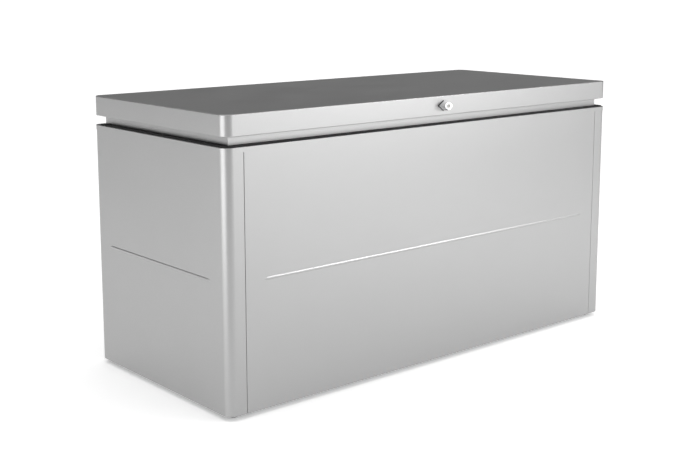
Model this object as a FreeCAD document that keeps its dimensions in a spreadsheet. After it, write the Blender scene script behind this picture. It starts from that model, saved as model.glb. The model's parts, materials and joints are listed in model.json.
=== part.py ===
import FreeCAD, Part
import Sketcher
import math
import os
import re
from FreeCAD import Placement, Rotation, Vector

# Garden cushion box in sheet steel: a walled box on four levelling feet, with a hinged lid
# that is carried by two gas springs and closed by a knob lock.
# Millimetres. X runs along the front, Y from the front to the back, Z up from the ground.
# The origin is on the ground, in the middle of the whole outline, the knob included.

SIZES = {
    # whole box
    "boxLength": 1600,       # over the top frame
    "boxDepth": 700,         # over the top frame
    "footGap": 14.5,         # ground to the walls
    "bodyHeight": 733,       # walls and top frame
    "lidLift": 3.5,          # top frame to the band under the lid
    "bandHeight": 25,        # the lid's set-back band
    "skirtHeight": 59,       # the lid's outer skirt
    "cornerRadius": 26,      # upright corners of walls and lid
    "sheet": 1,              # wall, lid and floor sheet
    # wall panels
    "seamInset": 60,         # end face to the upright seam
    "seamGap": 0.2,
    "bendRadius": 1.2,       # outside radius of a folded edge
    "panelFlange": 20,       # flanges turned into the box
    "beadWidth": 8,
    "beadRise": 1,
    "beadTaper": 12,         # run-out at each end
    "beadFrontInset": 120,   # end face to the tip of the front line
    "beadSideInset": 80,     # front face to the tip of the side line
    # top frame and seal
    "frameSheet": 0.8,
    "frameFit": 0.2,         # frame to wall
    "rimHeight": 14,
    "frameWidth": 48,
    "sealInset": 6,          # frame's outer edge to the seal, at the front and ends
    "sealWidth": 32,
    "sealBack": 34,          # the same at the back, clear of the hinges
    "sealBackWidth": 10,
    "sealJoint": 0.3,        # strip to strip at the corners
    "sealHeight": 3.2,
    # floor
    "floorLift": 24,         # height of the floor tray
    "floorFit": 0.5,
    "notchWidth": 5,         # floor cut-outs at the seam flanges
    "railWidth": 60,
    "railEnd": 320,          # end face to the middle of the outer rail
    # levelling feet
    "footInset": 40,
    "footRadius": 13,
    "footEdge": 4,
    "studRadius": 4,
    "studLength": 22,
    "footSeat": 0.3,         # foot to its bracket when screwed right in
    "footPlate": 52,
    "plateThickness": 3,
    "footNut": 7.5,
    "footNutHeight": 6,
    "runningFit": 0.05,
    # lid
    "bandInset": 28,
    "lidBend": 2.5,
    "trayLap": 12,           # tray wall above the skirt's return flange
    "stiffenerWidth": 40,
    "stiffenerHeight": 25,
    "stiffenerEnd": 200,     # end face to the middle of the outer stiffener
    # hinges
    "hingeEnd": 240,         # end face to the middle of the hinge
    "hingeLength": 80,
    "hingeInset": 14,
    "hingeRise": 14.5,
    "knuckleRadius": 7,
    "knuckleMiddle": 26,
    "knuckleGap": 0.5,
    "pinRadius": 3,
    "pinHead": 5,
    "leafThickness": 2.5,
    "leafFront": 13,
    "leafBack": 9,
    "hingeEndPlay": 0.2,
    "rivetRadius": 2,
    "rivetHead": 4,
    "rivetHeadHeight": 1.5,
    "rivetInset": 9,
    "rivetBack": 2,          # hinge axis to the rivets
    # gas springs
    "springInset": 69,       # end face to the spring's axis
    "springLowerBack": 74,   # back face to the lower pivot
    "springLowerDrop": 317.5,  # body top to the lower pivot
    "springUpperBack": 294,  # back face to the upper pivot
    "springUpperDrop": 16,   # band to the upper pivot
    "tubeRadius": 9,
    "tubeBore": 7.5,
    "tubeLength": 300,
    "tubeStart": 20,
    "rodRadius": 4,
    "rodLength": 308,
    "rodEnd": 14,
    "eyeRadius": 8,
    "eyeWidth": 10,
    "pivotRadius": 4,
    "neckRadius": 4.5,
    "tubeWall": 3,           # end caps of the tube
    "pistonLength": 10,
    "bracketSize": 50,
    "bracketFlange": 18,
    "bracketGap": 2,         # tube to bracket
    "collarRadius": 6,
    "collarGap": 0.3,
    "collarLength": 3,
    "lidBracketWidth": 40,
    "lidBracketFoot": 30,
    "openPivotGap": 0.4,
    # lock
    "lockDrop": 29.5,        # lid top to the lock's axis
    "knobReach": 24,
    "knobWide": 20.6,        # half the width of the knob's diamond base
    "knobTall": 15.3,        # half its height
    "knobCorner": 2.5,
    "faceWide": 16.2,
    "faceTall": 12.6,
    "faceCorner": 7,
    "knobGap": 0.3,
    "padWide": 23,
    "padTall": 17.3,
    "padCorner": 3,
    "padThickness": 3,
    "plugRadius": 7,
    "plugLength": 14,
    "keywayLength": 8,
    "keywayWidth": 2.4,
    "keywayDepth": 3,
    "housingRadius": 10,
    "housingLength": 34,
    "lockNutWidth": 15,
    "lockNutHeight": 6,
    "spindleRadius": 6,
    "camSetback": 50,        # lid face to the cam's front
    "camThickness": 3,
    "camHalf": 12,
    "camReach": 80,
    "strikeReach": 68,       # lock axis to the strike pin
    "strikeRadius": 3,
    "strikeHead": 5,
    "strikePlay": 1,
    "strikeEndPlay": 3,      # cam to the pin's head
    "strikePlate": 48,
    "slotPlay": 2,           # cam to the slot in the lid tray
    "camNut": 9.6,
    # fasteners
    "boltRadius": 2.5,
    "boltHead": 4.75,
    "boltHeadHeight": 2.75,
    "boltPlay": 0.25,
    "boltNut": 4.6,
    "boltNutHeight": 4,
    "boltEnd": 115,          # wall's edge to the nearest seam bolt
}

doc = FreeCAD.newDocument("CushionBox")
sheet = doc.addObject("Spreadsheet::Sheet", "Sheet")
for row, (alias, number) in enumerate(SIZES.items(), start=1):
    sheet.set("A%d" % row, alias)
    sheet.set("B%d" % row, str(number))
    sheet.setAlias("B%d" % row, alias)
doc.recompute()

# Places that several pieces share, as expressions of the sizes.
MIDDLE = "((knobReach - frameSheet - frameFit) / 2)"
WALL_X = "(boxLength / 2 - frameSheet - frameFit)"
WALL_Y = "(boxDepth / 2 - frameSheet - frameFit)"
BODY_TOP = "(footGap + bodyHeight)"
BAND_BOTTOM = "(footGap + bodyHeight + lidLift)"
SKIRT_BOTTOM = "(footGap + bodyHeight + lidLift + bandHeight)"
LID_TOP = "(footGap + bodyHeight + lidLift + bandHeight + skirtHeight)"
SEAM_X = "(boxLength / 2 - seamInset)"
HINGE_Y = MIDDLE + " + boxDepth / 2 - hingeInset"
HINGE_Z = BODY_TOP + " + hingeRise"
LOCK_Z = LID_TOP + " - lockDrop"
LID_FRONT = MIDDLE + " - " + WALL_Y
CAM_FRONT = LID_FRONT + " + camSetback"
BEAD_Z = "(footGap + bodyHeight / 2)"

UP = Rotation()
ALONG_X = Rotation(Vector(0, 1, 0), 90)
ALONG_Y = Rotation(Vector(1, 0, 0), -90)

nodes = []


def bound(text):
    """Expression text with each size's name pointed at its cell."""
    def point(word):
        return "Sheet." + word.group(0) if word.group(0) in SIZES else word.group(0)
    return re.sub(r"[A-Za-z]+", point, text)


def bind(piece, **properties):
    for name, text in properties.items():
        piece.setExpression(name, bound(text))
    return piece


def place(piece, x, y, z, turn=UP):
    piece.Placement = Placement(Vector(0, 0, 0), turn)
    for axis, text in zip("xyz", (x, y, z)):
        piece.setExpression("Placement.Base." + axis, bound(text))
    return piece


def node(piece, label):
    """Register a finished piece under the name of its file."""
    piece.Label = label
    nodes.append(piece)
    return piece


def block(x, y, z, length, width, height):
    piece = doc.addObject("Part::Box", "Block")
    bind(piece, Length=length, Width=width, Height=height)
    return place(piece, x, y, z)


def rod(x, y, z, radius, length, turn=UP):
    piece = doc.addObject("Part::Cylinder", "Rod")
    bind(piece, Radius=radius, Height=length)
    return place(piece, x, y, z, turn)


def cone(x, y, z, first, last, length, turn=UP):
    piece = doc.addObject("Part::Cone", "Cone")
    bind(piece, Radius1=first, Radius2=last, Height=length)
    return place(piece, x, y, z, turn)


def hexagon(x, y, z, circumradius, height, turn=UP):
    piece = doc.addObject("Part::Prism", "Hexagon")
    piece.Polygon = 6
    bind(piece, Circumradius=circumradius, Height=height)
    return place(piece, x, y, z, turn)


def fuse(*pieces):
    piece = doc.addObject("Part::MultiFuse", "Joined")
    piece.Shapes = list(pieces)
    piece.Refine = True
    return piece


def common(first, second):
    piece = doc.addObject("Part::Common", "Shared")
    piece.Base = first
    piece.Tool = second
    return piece


def group(pieces):
    piece = doc.addObject("Part::Compound", "Group")
    piece.Links = list(pieces)
    return piece


def cut(base, *tools):
    piece = doc.addObject("Part::Cut", "Opened")
    piece.Base = base
    piece.Tool = tools[0] if len(tools) == 1 else fuse(*tools)
    return piece


def mirrored(piece):
    """The same piece on the other end of the box."""
    other = doc.addObject("Part::Mirroring", "Mirrored")
    other.Source = piece
    other.Normal = Vector(1, 0, 0)
    return other


def sketch_in(body, role, x, y, z):
    """A sketch on one of the body's own origin planes, moved within that plane's axes."""
    sketch = body.newObject("Sketcher::SketchObject", "Outline")
    base_plane = [item for item in body.Origin.OriginFeatures if item.Role == role][0]
    sketch.AttachmentSupport = [(base_plane, "")]
    sketch.MapMode = "FlatFace"
    sketch.AttachmentOffset = Placement()
    for axis, text in zip("xyz", (x, y, z)):
        sketch.setExpression("AttachmentOffset.Base." + axis, bound(text))
    return sketch


def draw_rectangle(sketch, across, along):
    """A rectangle from the sketch's origin."""
    corners = [Vector(0, 0, 0), Vector(100, 0, 0), Vector(100, 80, 0), Vector(0, 80, 0)]
    for start, end in zip(corners, corners[1:] + corners[:1]):
        sketch.addGeometry(Part.LineSegment(start, end))
    for line in range(4):
        sketch.addConstraint(Sketcher.Constraint("Coincident", line, 2, (line + 1) % 4, 1))
        sketch.addConstraint(Sketcher.Constraint("Horizontal" if line % 2 == 0 else "Vertical", line))
    sketch.addConstraint(Sketcher.Constraint("Coincident", 0, 1, -1, 1))
    across_index = sketch.addConstraint(Sketcher.Constraint("DistanceX", 0, 1, 0, 2, 100))
    along_index = sketch.addConstraint(Sketcher.Constraint("DistanceY", 1, 1, 1, 2, 80))
    sketch.setExpression("Constraints[%d]" % across_index, bound(across))
    sketch.setExpression("Constraints[%d]" % along_index, bound(along))


def draw_rounded_diamond(sketch, wide, tall, corner):
    """A diamond about the sketch's origin, from its half width and half height, with four round corners."""
    radius = SIZES[corner]
    middles = [Vector(SIZES[wide] - radius, 0, 0), Vector(0, SIZES[tall] - radius, 0)]
    middles += [middles[0] * -1, middles[1] * -1]
    slopes = []
    for quarter in range(4):
        along = middles[(quarter + 1) % 4] - middles[quarter]
        slopes.append(math.atan2(along.y, along.x) - math.pi / 2)
    for quarter in range(4):
        first = slopes[quarter - 1]
        last = slopes[quarter]
        if last < first:
            last += 2 * math.pi
        circle = Part.Circle(middles[quarter], Vector(0, 0, 1), radius)
        sketch.addGeometry(Part.ArcOfCircle(circle, first, last))
    for quarter in range(4):
        out = Vector(math.cos(slopes[quarter]), math.sin(slopes[quarter]), 0) * radius
        sketch.addGeometry(Part.LineSegment(middles[quarter] + out, middles[(quarter + 1) % 4] + out))
    for quarter in range(4):
        side = 4 + quarter
        sketch.addConstraint(Sketcher.Constraint("Tangent", quarter, 2, side, 1))
        sketch.addConstraint(Sketcher.Constraint("Tangent", side, 2, (quarter + 1) % 4, 1))
    for arc in (1, 2, 3):
        sketch.addConstraint(Sketcher.Constraint("Equal", 0, arc))
    sketch.addConstraint(Sketcher.Constraint("PointOnObject", 0, 3, -1))
    sketch.addConstraint(Sketcher.Constraint("PointOnObject", 1, 3, -2))
    sketch.addConstraint(Sketcher.Constraint("Symmetric", 0, 3, 2, 3, -1, 1))
    sketch.addConstraint(Sketcher.Constraint("Symmetric", 1, 3, 3, 3, -1, 1))
    corner_index = sketch.addConstraint(Sketcher.Constraint("Radius", 0, radius))
    wide_index = sketch.addConstraint(Sketcher.Constraint("DistanceX", -1, 1, 0, 3, middles[0].x))
    tall_index = sketch.addConstraint(Sketcher.Constraint("DistanceY", -1, 1, 1, 3, middles[1].y))
    sketch.setExpression("Constraints[%d]" % corner_index, bound(corner))
    sketch.setExpression("Constraints[%d]" % wide_index, bound("%s - %s" % (wide, corner)))
    sketch.setExpression("Constraints[%d]" % tall_index, bound("%s - %s" % (tall, corner)))


def upright_edges(feature, chosen):
    """Names of the feature's upright edges whose plan position is chosen."""
    names = []
    for number, edge in enumerate(feature.Shape.Edges, start=1):
        ends = [vertex.Point for vertex in edge.Vertexes]
        upright = len(ends) == 2 and abs(ends[0].x - ends[1].x) + abs(ends[0].y - ends[1].y) < 1e-6
        if upright and chosen(ends[0].x, ends[0].y):
            names.append("Edge%d" % number)
    return names


def outer_faces(feature, directions):
    """Names of the flat faces that lie furthest out along each direction."""
    names = []
    for direction in directions:
        reach = [face.CenterOfMass.dot(direction) for face in feature.Shape.Faces]
        names.append("Face%d" % (reach.index(max(reach)) + 1))
    return names


def round_corners(body, feature, chosen, radius):
    doc.recompute()
    fillet = body.newObject("PartDesign::Fillet", "Corners")
    fillet.Base = (feature, upright_edges(feature, chosen))
    return bind(fillet, Radius=radius)


def round_rim(body, feature, direction, radius):
    """Round the edges about the face that lies furthest along the direction."""
    doc.recompute()
    fillet = body.newObject("PartDesign::Fillet", "Rim")
    fillet.Base = (feature, outer_faces(feature, [direction]))
    return bind(fillet, Radius=radius)


def hollow(body, feature, open_sides, thickness):
    """Shell the block inwards, leaving the named sides open."""
    doc.recompute()
    shell = body.newObject("PartDesign::Thickness", "Sheet")
    shell.Base = (feature, outer_faces(feature, open_sides))
    shell.Mode = 0
    shell.Join = 1
    shell.Reversed = True
    return bind(shell, Value=thickness)


def pad(body, x, y, z, length, width, height):
    sketch = sketch_in(body, "XY_Plane", x, y, z)
    draw_rectangle(sketch, length, width)
    feature = body.newObject("PartDesign::Pad", "Block")
    feature.Profile = sketch
    return bind(feature, Length=height)


def new_body(name):
    return doc.addObject("PartDesign::Body", name)


def rounded_block(name, x, y, z, length, width, height, radius, top_radius=None):
    """A solid block with four round upright corners, and a round upper rim if one is named."""
    body = new_body(name)
    feature = pad(body, x, y, z, length, width, height)
    feature = round_corners(body, feature, lambda px, py: True, radius)
    if top_radius:
        round_rim(body, feature, Vector(0, 0, 1), top_radius)
    return body


TOWARDS_Y = Vector(0, 1, 0)
TOWARDS_TOP = Vector(0, 0, 1)
WALL_HEIGHT = "(bodyHeight - frameSheet)"
SEAM_FRONT = MIDDLE + " - " + WALL_Y + " + panelFlange / 2 + sheet"
SEAM_BACK = MIDDLE + " + " + WALL_Y + " - panelFlange / 2 - sheet"
BOLT_LEVELS = ["footGap + boltEnd + %d * (bodyHeight - 2 * boltEnd) / 2" % step for step in range(3)]
SEAM_ROWS = [(y, z) for y in (SEAM_FRONT, SEAM_BACK) for z in BOLT_LEVELS]


def seam_cutters(x, length):
    """Bolt holes through the flanges of the front and back seams."""
    return [rod(x, y, z, "boltRadius + boltPlay", length, ALONG_X) for y, z in SEAM_ROWS]


def bead_rod(x, y, z, length, turn, less):
    """A long round bar with tapered tips; less is what it is thinner than the bead's outside."""
    radius = "((beadWidth ^ 2 / 4 + beadRise ^ 2) / (2 * beadRise) - %s)" % less
    tip = "(%s - beadRise)" % radius
    straight = "(%s - 2 * beadTaper)" % length
    along = turn.multVec(Vector(0, 0, 1))
    near = (x + " + %d * beadTaper" % round(along.x), y + " + %d * beadTaper" % round(along.y), z)
    far = (x + " + %d * (%s - beadTaper)" % (round(along.x), length),
           y + " + %d * (%s - beadTaper)" % (round(along.y), length), z)
    return fuse(cone(x, y, z, tip, radius, "beadTaper", turn),
                rod(near[0], near[1], near[2], radius, straight, turn),
                cone(far[0], far[1], far[2], radius, tip, "beadTaper", turn))


def pressed_line(panel, x, y, outward, length, turn, slab):
    """Raise a shallow bead on the panel's outside and hollow its inside to the same sheet."""
    depth = "((beadWidth ^ 2 / 4 + beadRise ^ 2) / (2 * beadRise) - beadRise)"
    axis_x = x + " - %d * %s" % (round(outward.x), depth)
    axis_y = y + " - %d * %s" % (round(outward.y), depth)
    ridge = common(bead_rod(axis_x, axis_y, BEAD_Z, length, turn, "0"), slab)
    return cut(fuse(panel, ridge), bead_rod(axis_x, axis_y, BEAD_Z, length, turn, "sheet"))


def end_panel():
    """The left end wall: it wraps both corners and ends in flanges at the seams."""
    length = "(seamInset - frameSheet - frameFit - seamGap / 2)"
    body = new_body("EndPanel")
    feature = pad(body, "-" + WALL_X, LID_FRONT, "footGap", length, "2 * " + WALL_Y, WALL_HEIGHT)
    doc.recompute()
    bounds = feature.Shape.BoundBox
    feature = round_corners(body, feature, lambda px, py: px < bounds.XMin + 1, "cornerRadius")
    feature = round_corners(body, feature, lambda px, py: px > bounds.XMax - 1, "bendRadius")
    hollow(body, feature, [TOWARDS_TOP], "sheet")
    inside = block("-" + WALL_X + " + sheet + panelFlange", LID_FRONT + " + sheet + panelFlange",
                   "footGap - sheet", length, "2 * (" + WALL_Y + " - sheet - panelFlange)",
                   WALL_HEIGHT + " + 2 * sheet")
    panel = cut(body, inside, *seam_cutters("-" + SEAM_X + " - 3 * sheet", "3 * sheet"))
    slab = block("-" + WALL_X + " - beadRise", LID_FRONT, BEAD_Z + " - beadWidth",
                 "beadRise + sheet / 2", "2 * " + WALL_Y, "2 * beadWidth")
    return pressed_line(panel, "-" + WALL_X, MIDDLE + " - boxDepth / 2 + beadSideInset", Vector(-1, 0, 0),
                        "(boxDepth - 2 * beadSideInset)", ALONG_Y, slab)


def long_panel(front):
    """The front or back wall between the seams: a flat sheet with flanges at its ends and foot."""
    side = -1 if front else 1
    outer = MIDDLE + " + %d * " % side + WALL_Y
    start = outer if front else outer + " - panelFlange - sheet"
    length = "(2 * %s - seamGap)" % SEAM_X
    body = new_body("LongPanel")
    feature = pad(body, "-%s / 2" % length, start, "footGap", length, "panelFlange + sheet", WALL_HEIGHT)
    doc.recompute()
    bounds = feature.Shape.BoundBox
    outside = (lambda px, py: py < bounds.YMin + 1) if front else (lambda px, py: py > bounds.YMax - 1)
    feature = round_corners(body, feature, outside, "bendRadius")
    hollow(body, feature, [TOWARDS_TOP, TOWARDS_Y * -side], "sheet")
    holes = seam_cutters("-" + SEAM_X, "3 * sheet") + seam_cutters(SEAM_X + " - 3 * sheet", "3 * sheet")
    panel = cut(body, *holes)
    slab_start = outer + (" - beadRise" if front else " - sheet / 2")
    slab = block("-" + SEAM_X, slab_start, BEAD_Z + " - beadWidth",
                 "2 * " + SEAM_X, "beadRise + sheet / 2", "2 * beadWidth")
    return pressed_line(panel, "-boxLength / 2 + beadFrontInset", outer, Vector(0, side, 0),
                        "(boxLength - 2 * beadFrontInset)", ALONG_X, slab)


left_panel = node(end_panel(), "left_side_panel")
node(mirrored(left_panel), "right_side_panel")
node(long_panel(front=True), "front_panel")
node(long_panel(front=False), "back_panel")


def top_frame():
    """The capping frame: a channel over the walls' upper edges, open downwards."""
    body = new_body("TopFrame")
    feature = pad(body, "-boxLength / 2", MIDDLE + " - boxDepth / 2", BODY_TOP + " - rimHeight",
                  "boxLength", "boxDepth", "rimHeight")
    feature = round_corners(body, feature, lambda px, py: True, "cornerRadius + frameSheet + frameFit")
    doc.recompute()
    sketch = sketch_in(body, "XY_Plane", "-boxLength / 2 + frameWidth",
                       MIDDLE + " - boxDepth / 2 + frameWidth", BODY_TOP)
    draw_rectangle(sketch, "boxLength - 2 * frameWidth", "boxDepth - 2 * frameWidth")
    opening = body.newObject("PartDesign::Pocket", "Opening")
    opening.Profile = sketch
    opening.Type = 1
    hollow(body, opening, [-TOWARDS_TOP], "frameSheet")
    return body


def mirrored_pair(piece, left_label, right_label):
    node(piece, left_label)
    node(mirrored(piece), right_label)


def four_corners(make):
    """One piece for each corner, from a function of the signs along X and Y."""
    return [make(side_x, side_y) for side_y in (-1, 1) for side_x in (-1, 1)]


def corner_place(side_x, side_y, inset_x, inset_y):
    return "%d * (%s)" % (side_x, inset_x), MIDDLE + " + %d * (%s)" % (side_y, inset_y)


def lid_seal():
    """Four rubber strips on the frame, butted together, which the lid tray closes on."""
    body = new_body("LidSeal")
    half_x = "(boxLength / 2 - sealInset)"
    inner_x = "(boxLength / 2 - sealInset - sealWidth)"
    front = MIDDLE + " - boxDepth / 2 + sealInset"
    reach = "(boxDepth - sealInset - sealBack)"
    feature = pad(body, "-" + half_x, front, BODY_TOP, "2 * " + half_x, reach, "sealHeight")
    round_corners(body, feature, lambda px, py: py < 0, "cornerRadius + frameSheet + frameFit - sealInset")
    low = BODY_TOP + " - sheet"
    high = "sealHeight + 2 * sheet"
    inner = block("-" + inner_x, front + " + sealWidth", low,
                  "2 * " + inner_x, reach + " - sealWidth - sealBackWidth", high)
    front_joint = block("-" + half_x, front + " + sealWidth", low, "2 * " + half_x, "sealJoint", high)
    back = front + " + " + reach + " - sealBackWidth - sheet"
    left_joint = block("-" + inner_x, back, low, "sealJoint", "sealBackWidth + 2 * sheet", high)
    right_joint = block(inner_x + " - sealJoint", back, low, "sealJoint", "sealBackWidth + 2 * sheet", high)
    return cut(body, inner, front_joint, left_joint, right_joint)


node(lid_seal(), "lid_seal")


def floor_tray():
    """The raised floor: a tray turned upside down, notched round the seam flanges."""
    half_x = "(%s - sheet - floorFit)" % WALL_X
    half_y = "(%s - sheet - floorFit)" % WALL_Y
    body = new_body("FloorTray")
    feature = pad(body, "-" + half_x, MIDDLE + " - " + half_y, "footGap + sheet",
                  "2 * " + half_x, "2 * " + half_y, "floorLift")
    feature = round_corners(body, feature, lambda px, py: True, "cornerRadius - sheet - floorFit")
    hollow(body, feature, [-TOWARDS_TOP], "sheet")
    depth = "(panelFlange + sheet + floorFit)"
    notches = []
    for side_x in (-1, 1):
        x = "%d * %s - notchWidth / 2" % (side_x, SEAM_X)
        notches.append(block(x, LID_FRONT, "footGap", "notchWidth", depth, "floorLift + 2 * sheet"))
        notches.append(block(x, MIDDLE + " + " + WALL_Y + " - " + depth, "footGap",
                             "notchWidth", depth, "floorLift + 2 * sheet"))
    return cut(body, *notches)


def floor_rail(x):
    """A channel across the box under the floor, resting on the walls' lower flanges."""
    half_y = "(%s - 2 * sheet - 2 * floorFit)" % WALL_Y
    outer = block(x + " - railWidth / 2", MIDDLE + " - " + half_y, "footGap + sheet",
                  "railWidth", "2 * " + half_y, "floorLift - sheet")
    inner = block(x + " - railWidth / 2 + sheet", MIDDLE + " - " + half_y + " - sheet", "footGap",
                  "railWidth - 2 * sheet", "2 * " + half_y + " + 2 * sheet", "floorLift - sheet")
    return cut(outer, inner)


node(floor_tray(), "floor_panel")
node(group([floor_rail("%d * (boxLength / 2 - railEnd)" % step) for step in (-1, 0, 1)]), "floor_rails")


def foot_bore(side_x, side_y):
    x, y = corner_place(side_x, side_y, "boxLength / 2 - footInset", "boxDepth / 2 - footInset")
    return rod(x, y, "footGap", "studRadius + runningFit", "floorLift")


def foot_bracket(side_x, side_y):
    """A thick plate in the corner, on the walls' lower flanges, under the floor."""
    edge_x = "(%s - 2 * sheet - 2 * floorFit)" % WALL_X
    edge_y = "(%s - 2 * sheet - 2 * floorFit)" % WALL_Y
    x, y = corner_place(side_x, side_y, edge_x + " - footPlate / 2", edge_y + " - footPlate / 2")
    body = new_body("FootPlate")
    feature = pad(body, x + " - footPlate / 2", y + " - footPlate / 2", "footGap + sheet",
                  "footPlate", "footPlate", "plateThickness")
    doc.recompute()
    centre = feature.Shape.BoundBox.Center
    round_corners(body, feature, lambda px, py: (px - centre.x) * side_x > 0 and (py - centre.y) * side_y > 0,
                  "cornerRadius - 2 * sheet - 2 * floorFit")
    return cut(body, foot_bore(side_x, side_y))


def foot_nut(side_x, side_y):
    x, y = corner_place(side_x, side_y, "boxLength / 2 - footInset", "boxDepth / 2 - footInset")
    nut = hexagon(x, y, "footGap + sheet + plateThickness", "footNut", "footNutHeight")
    return cut(nut, foot_bore(side_x, side_y))


def foot(side_x, side_y):
    """A round pad with a softened lower edge, on a threaded stud."""
    x, y = corner_place(side_x, side_y, "boxLength / 2 - footInset", "boxDepth / 2 - footInset")
    body = new_body("Foot")
    sketch = sketch_in(body, "XY_Plane", x, y, "0")
    sketch.addGeometry(Part.Circle(Vector(0, 0, 0), Vector(0, 0, 1), SIZES["footRadius"]))
    sketch.addConstraint(Sketcher.Constraint("Coincident", 0, 3, -1, 1))
    radius_index = sketch.addConstraint(Sketcher.Constraint("Radius", 0, SIZES["footRadius"]))
    sketch.setExpression("Constraints[%d]" % radius_index, bound("footRadius"))
    feature = body.newObject("PartDesign::Pad", "Pad")
    feature.Profile = sketch
    bind(feature, Length="footGap + sheet - footSeat")
    round_rim(body, feature, -TOWARDS_TOP, "footEdge")
    stud = rod(x, y, "footGap + sheet - footSeat", "studRadius", "studLength")
    return fuse(body, stud)


node(group(four_corners(foot_bracket)), "foot_brackets")
node(group(four_corners(foot_nut)), "foot_nuts")
for corner, made in zip(("front_left", "front_right", "back_left", "back_right"), four_corners(foot)):
    node(made, "foot_" + corner)


# Lid: an outer shell with a return flange, closed below by a tray whose walls are the set-back band.
def lid_shell():
    outer = rounded_block("LidOuter", "-" + WALL_X, LID_FRONT, SKIRT_BOTTOM,
                          "2 * " + WALL_X, "2 * " + WALL_Y, "skirtHeight", "cornerRadius", "lidBend")
    inner = rounded_block("LidInner", "-" + WALL_X + " + sheet", LID_FRONT + " + sheet",
                          SKIRT_BOTTOM + " + sheet", "2 * (" + WALL_X + " - sheet)",
                          "2 * (" + WALL_Y + " - sheet)", "skirtHeight - 2 * sheet",
                          "cornerRadius - sheet", "lidBend - sheet")
    opening = block("-" + WALL_X + " + bandInset", LID_FRONT + " + bandInset", SKIRT_BOTTOM + " - sheet",
                    "2 * (" + WALL_X + " - bandInset)", "2 * (" + WALL_Y + " - bandInset)", "3 * sheet")
    lock_hole = rod("0", LID_FRONT + " - sheet", LOCK_Z, "housingRadius + boltPlay", "3 * sheet", ALONG_Y)
    return cut(outer, inner, opening, lock_hole, *rivet_holes(SKIRT_BOTTOM))


def lid_tray():
    body = new_body("LidTray")
    feature = pad(body, "-" + WALL_X + " + bandInset", LID_FRONT + " + bandInset", BAND_BOTTOM,
                  "2 * (" + WALL_X + " - bandInset)", "2 * (" + WALL_Y + " - bandInset)",
                  "bandHeight + trayLap")
    hollow(body, feature, [TOWARDS_TOP], "sheet")
    drop = "(%s - (%s) - sheet)" % (LOCK_Z, BAND_BOTTOM)
    sweep = "sqrt(camReach ^ 2 + camHalf ^ 2 - %s ^ 2)" % drop
    slot = block("-camHalf - slotPlay", CAM_FRONT + " - slotPlay", BAND_BOTTOM + " - sheet",
                 sweep + " + camHalf + 2 * slotPlay", "camThickness + 2 * slotPlay", "3 * sheet")
    return cut(body, slot)


def lid_stiffener(x):
    """A channel across the lid, bonded under the top sheet."""
    half_y = "(%s - sheet - lidBend)" % WALL_Y
    level = LID_TOP + " - sheet - stiffenerHeight"
    outer = block(x + " - stiffenerWidth / 2", MIDDLE + " - " + half_y, level,
                  "stiffenerWidth", "2 * " + half_y, "stiffenerHeight")
    inner = block(x + " - stiffenerWidth / 2 + sheet", MIDDLE + " - " + half_y + " - sheet",
                  level + " + sheet", "stiffenerWidth - 2 * sheet", "2 * " + half_y + " + 2 * sheet",
                  "stiffenerHeight")
    return cut(outer, inner)


# Hinges: a body leaf with two knuckles, a lid leaf with the middle one, and a headed pin.
HINGES = {"left": "(hingeEnd - boxLength / 2)", "right": "(boxLength / 2 - hingeEnd)"}
KNUCKLE = "((hingeLength - knuckleMiddle) / 2 - knuckleGap)"


def rivet_places(centre):
    return [(centre + " + %d * (hingeLength / 2 - rivetInset)" % side, HINGE_Y + " + rivetBack")
            for side in (-1, 1)]


def rivet_holes(level):
    """Holes for all the hinges' rivets through the sheets that meet at one level."""
    return [rod(x, y, level + " - 2 * leafThickness", "rivetRadius + runningFit", "4 * leafThickness")
            for centre in HINGES.values() for x, y in rivet_places(centre)]


def rivets(level, sheet_below, sheet_above):
    """Rivets about a joint's plane, with that much material below and above it."""
    made = []
    for centre in HINGES.values():
        for x, y in rivet_places(centre):
            made.append(fuse(
                rod(x, y, level + " - " + sheet_below, "rivetRadius", sheet_below + " + " + sheet_above),
                rod(x, y, level + " - " + sheet_below + " - rivetHeadHeight", "rivetHead", "rivetHeadHeight"),
                rod(x, y, level + " + " + sheet_above, "rivetHead", "rivetHeadHeight")))
    return group(made)


def pin_bore(centre):
    return rod(centre + " - hingeLength", HINGE_Y, HINGE_Z, "pinRadius + runningFit", "2 * hingeLength",
               ALONG_X)


def body_leaf(centre):
    pieces = [block(centre + " - hingeLength / 2", HINGE_Y + " - leafFront", BODY_TOP,
                    "hingeLength", "leafFront + leafBack", "leafThickness")]
    for start in (centre + " - hingeLength / 2", centre + " + knuckleMiddle / 2 + knuckleGap"):
        pieces.append(block(start, HINGE_Y + " - knuckleRadius", BODY_TOP,
                            KNUCKLE, "leafThickness", "hingeRise"))
        pieces.append(rod(start, HINGE_Y, HINGE_Z, "knuckleRadius", KNUCKLE, ALONG_X))
    return cut(fuse(*pieces), pin_bore(centre), *rivet_holes(BODY_TOP))


def lid_leaf(centre):
    start = centre + " - knuckleMiddle / 2"
    rise = "(lidLift + bandHeight - hingeRise)"
    pieces = [block(centre + " - hingeLength / 2", HINGE_Y + " - leafFront",
                    SKIRT_BOTTOM + " - leafThickness",
                    "hingeLength", "leafFront + leafBack", "leafThickness"),
              block(start, HINGE_Y + " + knuckleRadius - leafThickness", HINGE_Z,
                    "knuckleMiddle", "leafThickness", rise),
              rod(start, HINGE_Y, HINGE_Z, "knuckleRadius", "knuckleMiddle", ALONG_X)]
    return cut(fuse(*pieces), pin_bore(centre), *rivet_holes(SKIRT_BOTTOM))


def hinge_pin(centre):
    end = "(hingeLength / 2 + hingeEndPlay)"
    return fuse(rod(centre + " - " + end, HINGE_Y, HINGE_Z, "pinRadius", "2 * " + end, ALONG_X),
                rod(centre + " - " + end + " - leafThickness", HINGE_Y, HINGE_Z,
                    "pinHead", "leafThickness", ALONG_X),
                rod(centre + " + " + end, HINGE_Y, HINGE_Z, "pinHead", "leafThickness", ALONG_X))


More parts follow.
